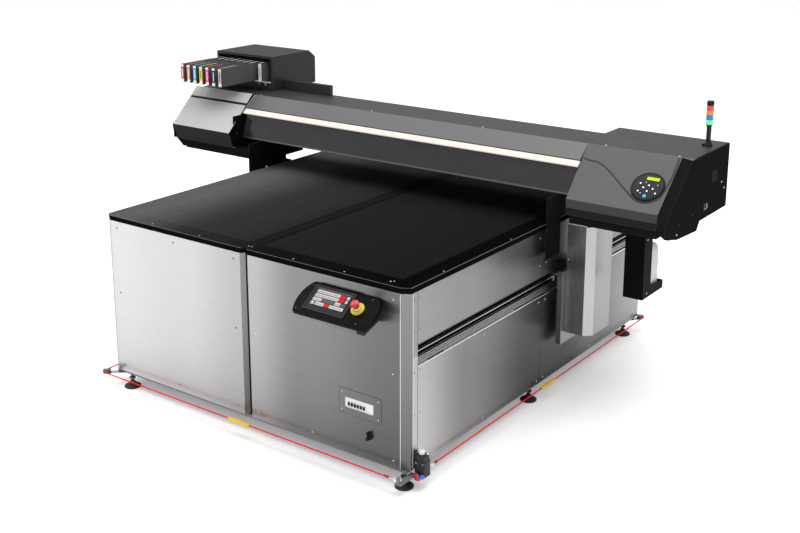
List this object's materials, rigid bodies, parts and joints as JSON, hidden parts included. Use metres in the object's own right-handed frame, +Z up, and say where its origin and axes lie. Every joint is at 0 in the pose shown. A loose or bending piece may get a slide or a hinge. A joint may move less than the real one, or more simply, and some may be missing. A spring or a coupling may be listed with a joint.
{
  "type": "flatbed uv printer",
  "caption": "Flatbed UV printer: a vacuum table on steel cabinets, with a gantry that travels and lifts over it, ink rack, operator panel and safety rope.",
  "frame": {"origin": "centre of the overall box, on the floor under the feet", "axes": "+X to the operator's right along the gantry, +Y from the operator to the rear, +Z up"},
  "size_m": [3.345, 2.535, 1.572],
  "materials": {
    "stainless": "fine vertical brushing",
    "bright_steel": "ground",
    "table_black": "matte black, perforated",
    "frame_paint": "satin black paint",
    "cover_grey": "satin grey paint with fine grain",
    "cover_dark": "satin dark grey paint",
    "box_paint": "powder coat",
    "smoked_window": "smoked acrylic",
    "light_diffuser": "warm white diffuser",
    "rope_red": "red jacket",
    "stop_red": "moulded",
    "stop_yellow": "moulded",
    "pale_plastic": "moulded",
    "screen_glass": "glossy screen",
    "black_plastic": "moulded grain",
    "belt_rubber": "moulded",
    "foot_rubber": "moulded",
    "ink_red": "moulded",
    "ink_orange": "moulded",
    "ink_cyan": "moulded",
    "ink_yellow": "moulded",
    "ink_magenta": "moulded",
    "ink_black": "moulded",
    "ink_grey": "moulded",
    "ink_white": "moulded"
  },
  "bodies": {
    "base": {"base_frame": "frame_paint", "centre_post": "stainless", "corner_post_left": "stainless", "corner_post_right": "stainless", "estop_collar": "stop_yellow", "foot_front_left": "foot_rubber", "foot_front_right": "foot_rubber", "foot_middle_left": "foot_rubber", "foot_middle_right": "foot_rubber", "foot_rear_left": "foot_rubber", "foot_rear_right": "foot_rubber", "front_panel_left": "stainless", "front_panel_right": "stainless", "guide_rail_left": "bright_steel", "guide_rail_right": "bright_steel", "pull_rope": "rope_red", "rear_panel": "stainless", "rope_pulley_front_left": "frame_paint", "rope_pulley_rear_left": "frame_paint", "rope_pulley_rear_right": "frame_paint", "rope_switch": "frame_paint", "service_window": "stainless", "side_panel_left": "stainless", "side_panel_right": "stainless", "table_left": "table_black", "table_right": "table_black", "touch_panel_housing": "black_plastic", "touch_screen": "screen_glass", "vacuum_blower": "frame_paint", "vacuum_chamber": "frame_paint"},
    "front_window": {"front_window": "smoked_window"},
    "carriage": {"print_carriage": "black_plastic"},
    "carriage_pulley": {"carriage_pulley": "bright_steel"},
    "travel_screw": {"travel_screw": "bright_steel"},
    "estop_button": {"estop_button": "stop_red"},
    "main_switch_knob": {"main_switch_knob": "black_plastic"},
    "rope_reset_button": {"rope_reset_button": "pale_plastic"},
    "trolley": {"trolley_frame": "stainless", "lift_cover_left": "stainless", "lift_cover_right": "stainless"},
    "gantry": {"gantry_chassis": "frame_paint", "gantry_top_cover": "cover_dark", "gantry_left_cover": "cover_grey", "gantry_right_cover": "cover_grey", "fascia": "cover_grey", "light_bar": "light_diffuser", "carriage_belt": "belt_rubber", "ink_rack": "box_paint", "signal_tower": "black_plastic", "waste_holder": "box_paint", "waste_bottle": "pale_plastic", "control_panel": "black_plastic"},
    "ink_cartridge_1": {"ink_cartridge_1": "ink_red"},
    "ink_cartridge_2": {"ink_cartridge_2": "ink_orange"},
    "ink_cartridge_3": {"ink_cartridge_3": "ink_cyan"},
    "ink_cartridge_4": {"ink_cartridge_4": "ink_yellow"},
    "ink_cartridge_5": {"ink_cartridge_5": "ink_magenta"},
    "ink_cartridge_6": {"ink_cartridge_6": "ink_black"},
    "ink_cartridge_7": {"ink_cartridge_7": "ink_grey"},
    "ink_cartridge_8": {"ink_cartridge_8": "ink_white"}
  },
  "joints": [
    {"name": "trolley_travel", "type": "slide", "parent": "base", "child": "trolley", "axis": [0, 1, 0], "range_m": [-1.15, 0.65]},
    {"name": "gantry_lift", "type": "slide", "parent": "trolley", "child": "gantry", "axis": [0, 0, 1], "range_m": [-0.03, 0.12]},
    {"name": "window_hinge", "type": "hinge", "parent": "gantry", "child": "front_window", "pos_m": [0.0175, 0.1545, 1.244], "axis": [-1, 0, 0], "range_deg": [0, 60]},
    {"name": "carriage_travel", "type": "slide", "parent": "gantry", "child": "carriage", "axis": [-1, 0, 0], "range_m": [0, 2.7]},
    {"name": "carriage_pulley_spin", "type": "hinge", "parent": "gantry", "child": "carriage_pulley", "pos_m": [1.6175, 0.2745, 1.26], "axis": [0, 0, 1], "range_deg": [0, 7400]},
    {"name": "travel_screw_spin", "type": "hinge", "parent": "base", "child": "travel_screw", "pos_m": [0.0285, 0.0545, 0.6], "axis": [0, 1, 0], "range_deg": [-10400, 5900]},
    {"name": "estop_press", "type": "slide", "parent": "base", "child": "estop_button", "axis": [0, 0.5743, -0.8187], "range_m": [0, 0.006], "stiffness_N_per_m": 700},
    {"name": "main_switch_turn", "type": "hinge", "parent": "base", "child": "main_switch_knob", "pos_m": [0.7745, -1.1205, 0.206], "axis": [0, -1, 0], "range_deg": [0, 90]},
    {"name": "rope_reset_press", "type": "slide", "parent": "base", "child": "rope_reset_button", "axis": [0, 0, -1], "range_m": [0, 0.005], "stiffness_N_per_m": 500},
    {"name": "cartridge_1_slide", "type": "slide", "parent": "gantry", "child": "ink_cartridge_1", "axis": [0, -1, 0], "range_m": [0, 0.3]},
    {"name": "cartridge_2_slide", "type": "slide", "parent": "gantry", "child": "ink_cartridge_2", "axis": [0, -1, 0], "range_m": [0, 0.3]},
    {"name": "cartridge_3_slide", "type": "slide", "parent": "gantry", "child": "ink_cartridge_3", "axis": [0, -1, 0], "range_m": [0, 0.3]},
    {"name": "cartridge_4_slide", "type": "slide", "parent": "gantry", "child": "ink_cartridge_4", "axis": [0, -1, 0], "range_m": [0, 0.3]},
    {"name": "cartridge_5_slide", "type": "slide", "parent": "gantry", "child": "ink_cartridge_5", "axis": [0, -1, 0], "range_m": [0, 0.3]},
    {"name": "cartridge_6_slide", "type": "slide", "parent": "gantry", "child": "ink_cartridge_6", "axis": [0, -1, 0], "range_m": [0, 0.3]},
    {"name": "cartridge_7_slide", "type": "slide", "parent": "gantry", "child": "ink_cartridge_7", "axis": [0, -1, 0], "range_m": [0, 0.3]},
    {"name": "cartridge_8_slide", "type": "slide", "parent": "gantry", "child": "ink_cartridge_8", "axis": [0, -1, 0], "range_m": [0, 0.3]}
  ],
  "couplings": [
    {"joint": "carriage_pulley_spin", "follows": "carriage_travel", "rad_per_m": 47},
    {"joint": "travel_screw_spin", "follows": "trolley_travel", "rad_per_m": 157.08}
  ]
}
